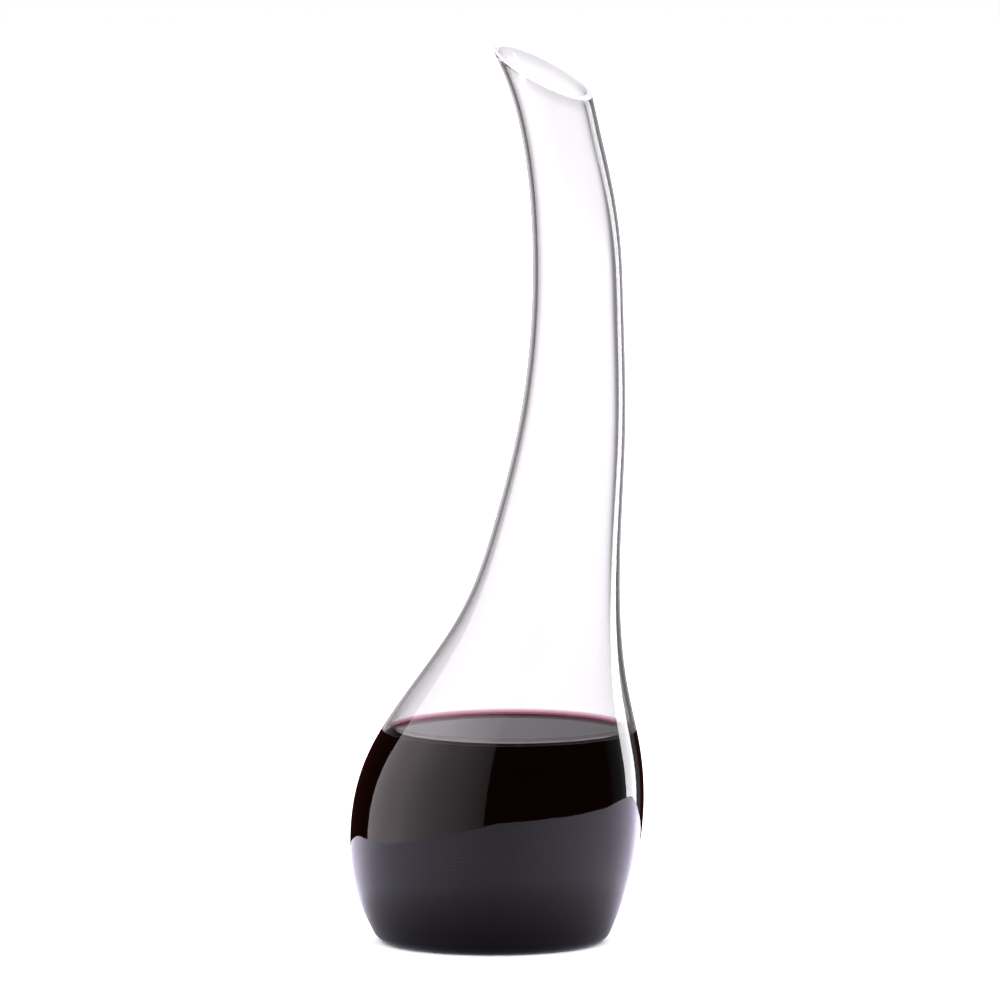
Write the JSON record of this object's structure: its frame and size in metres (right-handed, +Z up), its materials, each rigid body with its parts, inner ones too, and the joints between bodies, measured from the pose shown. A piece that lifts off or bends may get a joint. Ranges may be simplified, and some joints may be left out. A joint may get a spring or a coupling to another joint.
{
  "type": "wine decanter",
  "caption": "Blown glass wine decanter with a rounded bowl, a long neck bent to one side and a slanted mouth, partly filled with red wine.",
  "frame": {"origin": "centre of the foot on the table", "axes": "+Z up; +X the way the neck leans and the mouth's plane slopes down; +Y across"},
  "size_m": [0.1181, 0.117, 0.3616],
  "materials": {
    "glass": "clear, fire polished",
    "wine": "still liquid, dark red"
  },
  "bodies": {
    "root": {"glass_vessel": "glass", "wine": "wine"}
  },
  "joints": []
}
